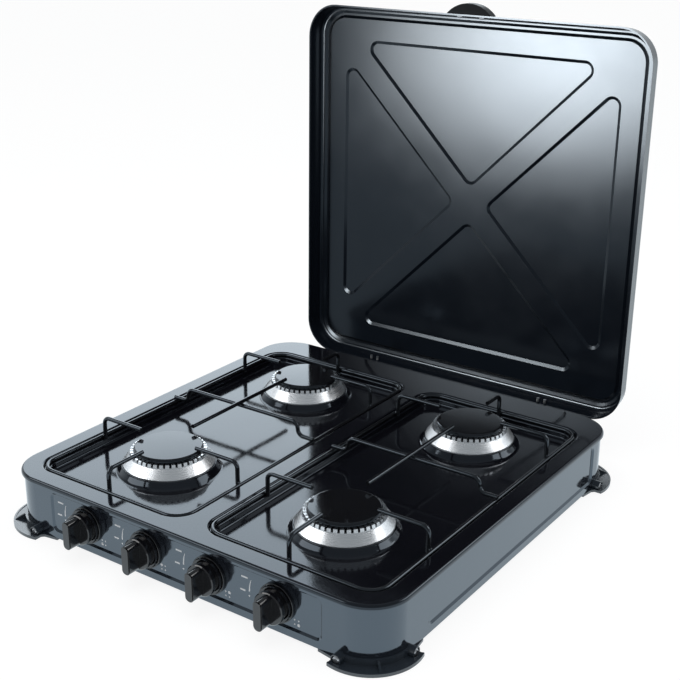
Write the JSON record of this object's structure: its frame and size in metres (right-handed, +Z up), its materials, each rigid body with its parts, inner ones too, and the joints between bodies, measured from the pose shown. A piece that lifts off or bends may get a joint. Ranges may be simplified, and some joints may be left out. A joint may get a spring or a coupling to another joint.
{
  "type": "camping gas hob",
  "caption": "Low table-top gas hob with round-cornered enamelled body, toothed burners, wire pan supports, front knobs and a folding pressed lid.",
  "frame": {"origin": "on the table, midway between the four feet", "axes": "+Z up, -Y towards the user and the knobs, +Y towards the lid's hinges, +X to the user's right"},
  "size_m": [0.5344, 0.6147, 0.5466],
  "materials": {
    "casing_enamel": "gloss black enamel",
    "cooktop_enamel": "gloss black enamel",
    "lid_enamel": "gloss black enamel",
    "cap_enamel": "gloss black enamel",
    "wire_enamel": "black enamel",
    "hinge_paint": "black paint",
    "foot_plastic": "satin",
    "knob_plastic": "satin gloss",
    "handle_plastic": "satin",
    "burner_aluminium": "turned",
    "gas_brass": "turned",
    "pipe_steel": "drawn tube",
    "fastener_steel": "plated"
  },
  "bodies": {
    "hob": {"side_casing": "casing_enamel", "cooktop": "cooktop_enamel", "foot_front_left": "foot_plastic", "foot_front_right": "foot_plastic", "foot_back_left": "foot_plastic", "foot_back_right": "foot_plastic", "foot_screws": "fastener_steel", "knob_bezels": "knob_plastic", "gas_manifold": "pipe_steel", "hose_nozzle": "gas_brass", "tap_body_1": "gas_brass", "tap_body_2": "gas_brass", "tap_body_3": "gas_brass", "tap_body_4": "gas_brass", "supply_tube_1": "pipe_steel", "supply_tube_2": "pipe_steel", "supply_tube_3": "pipe_steel", "supply_tube_4": "pipe_steel", "injector_elbows": "gas_brass", "burner_cup_1": "burner_aluminium", "burner_cup_2": "burner_aluminium", "burner_cup_3": "burner_aluminium", "burner_cup_4": "burner_aluminium", "burner_screws": "fastener_steel", "burner_crown_1": "burner_aluminium", "burner_crown_2": "burner_aluminium", "burner_crown_3": "burner_aluminium", "burner_crown_4": "burner_aluminium", "hinge_brackets": "hinge_paint", "hinge_pins": "fastener_steel", "bracket_screws": "fastener_steel"},
    "lid": {"lid": "lid_enamel", "lid_handle": "handle_plastic", "handle_screws": "fastener_steel", "hinge_arms": "hinge_paint", "arm_screws": "fastener_steel"},
    "tap_1": {"tap_cone_1": "gas_brass", "tap_spring_1": "fastener_steel"},
    "knob_1": {"tap_spindle_1": "fastener_steel", "knob_1": "knob_plastic"},
    "tap_2": {"tap_cone_2": "gas_brass", "tap_spring_2": "fastener_steel"},
    "knob_2": {"tap_spindle_2": "fastener_steel", "knob_2": "knob_plastic"},
    "tap_3": {"tap_cone_3": "gas_brass", "tap_spring_3": "fastener_steel"},
    "knob_3": {"tap_spindle_3": "fastener_steel", "knob_3": "knob_plastic"},
    "tap_4": {"tap_cone_4": "gas_brass", "tap_spring_4": "fastener_steel"},
    "knob_4": {"tap_spindle_4": "fastener_steel", "knob_4": "knob_plastic"},
    "grate_left": {"grate_left": "wire_enamel"},
    "grate_right": {"grate_right": "wire_enamel"},
    "cap_1": {"burner_cap_1": "cap_enamel"},
    "cap_2": {"burner_cap_2": "cap_enamel"},
    "cap_3": {"burner_cap_3": "cap_enamel"},
    "cap_4": {"burner_cap_4": "cap_enamel"}
  },
  "joints": [
    {"name": "lid_hinge", "type": "hinge", "parent": "hob", "child": "lid", "pos_m": [0, 0.263, 0.0365], "axis": [-1, 0, 0], "range_deg": [-90.6, 0]},
    {"name": "tap_turn_1", "type": "hinge", "parent": "hob", "child": "tap_1", "pos_m": [-0.1296, -0.24, 0.035], "axis": [0, -1, 0], "range_deg": [0, 210]},
    {"name": "knob_press_1", "type": "slide", "parent": "tap_1", "child": "knob_1", "axis": [0, 1, 0], "range_m": [0, 0.003], "stiffness_N_per_m": 1500, "springref_m": -0.002, "deforming": ["tap_spring_1"]},
    {"name": "tap_turn_2", "type": "hinge", "parent": "hob", "child": "tap_2", "pos_m": [-0.0432, -0.24, 0.035], "axis": [0, -1, 0], "range_deg": [0, 210]},
    {"name": "knob_press_2", "type": "slide", "parent": "tap_2", "child": "knob_2", "axis": [0, 1, 0], "range_m": [0, 0.003], "stiffness_N_per_m": 1500, "springref_m": -0.002, "deforming": ["tap_spring_2"]},
    {"name": "tap_turn_3", "type": "hinge", "parent": "hob", "child": "tap_3", "pos_m": [0.0432, -0.24, 0.035], "axis": [0, -1, 0], "range_deg": [0, 210]},
    {"name": "knob_press_3", "type": "slide", "parent": "tap_3", "child": "knob_3", "axis": [0, 1, 0], "range_m": [0, 0.003], "stiffness_N_per_m": 1500, "springref_m": -0.002, "deforming": ["tap_spring_3"]},
    {"name": "tap_turn_4", "type": "hinge", "parent": "hob", "child": "tap_4", "pos_m": [0.1296, -0.24, 0.035], "axis": [0, -1, 0], "range_deg": [0, 210]},
    {"name": "knob_press_4", "type": "slide", "parent": "tap_4", "child": "knob_4", "axis": [0, 1, 0], "range_m": [0, 0.003], "stiffness_N_per_m": 1500, "springref_m": -0.002, "deforming": ["tap_spring_4"]},
    {"name": "grate_left_lift", "type": "slide", "parent": "hob", "child": "grate_left", "axis": [0, 0, 1], "range_m": [0, 0.04]},
    {"name": "grate_right_lift", "type": "slide", "parent": "hob", "child": "grate_right", "axis": [0, 0, 1], "range_m": [0, 0.04]},
    {"name": "burner_cap_1_lift", "type": "slide", "parent": "hob", "child": "cap_1", "axis": [0, 0, 1], "range_m": [0, 0.04]},
    {"name": "burner_cap_2_lift", "type": "slide", "parent": "hob", "child": "cap_2", "axis": [0, 0, 1], "range_m": [0, 0.04]},
    {"name": "burner_cap_3_lift", "type": "slide", "parent": "hob", "child": "cap_3", "axis": [0, 0, 1], "range_m": [0, 0.04]},
    {"name": "burner_cap_4_lift", "type": "slide", "parent": "hob", "child": "cap_4", "axis": [0, 0, 1], "range_m": [0, 0.04]}
  ]
}
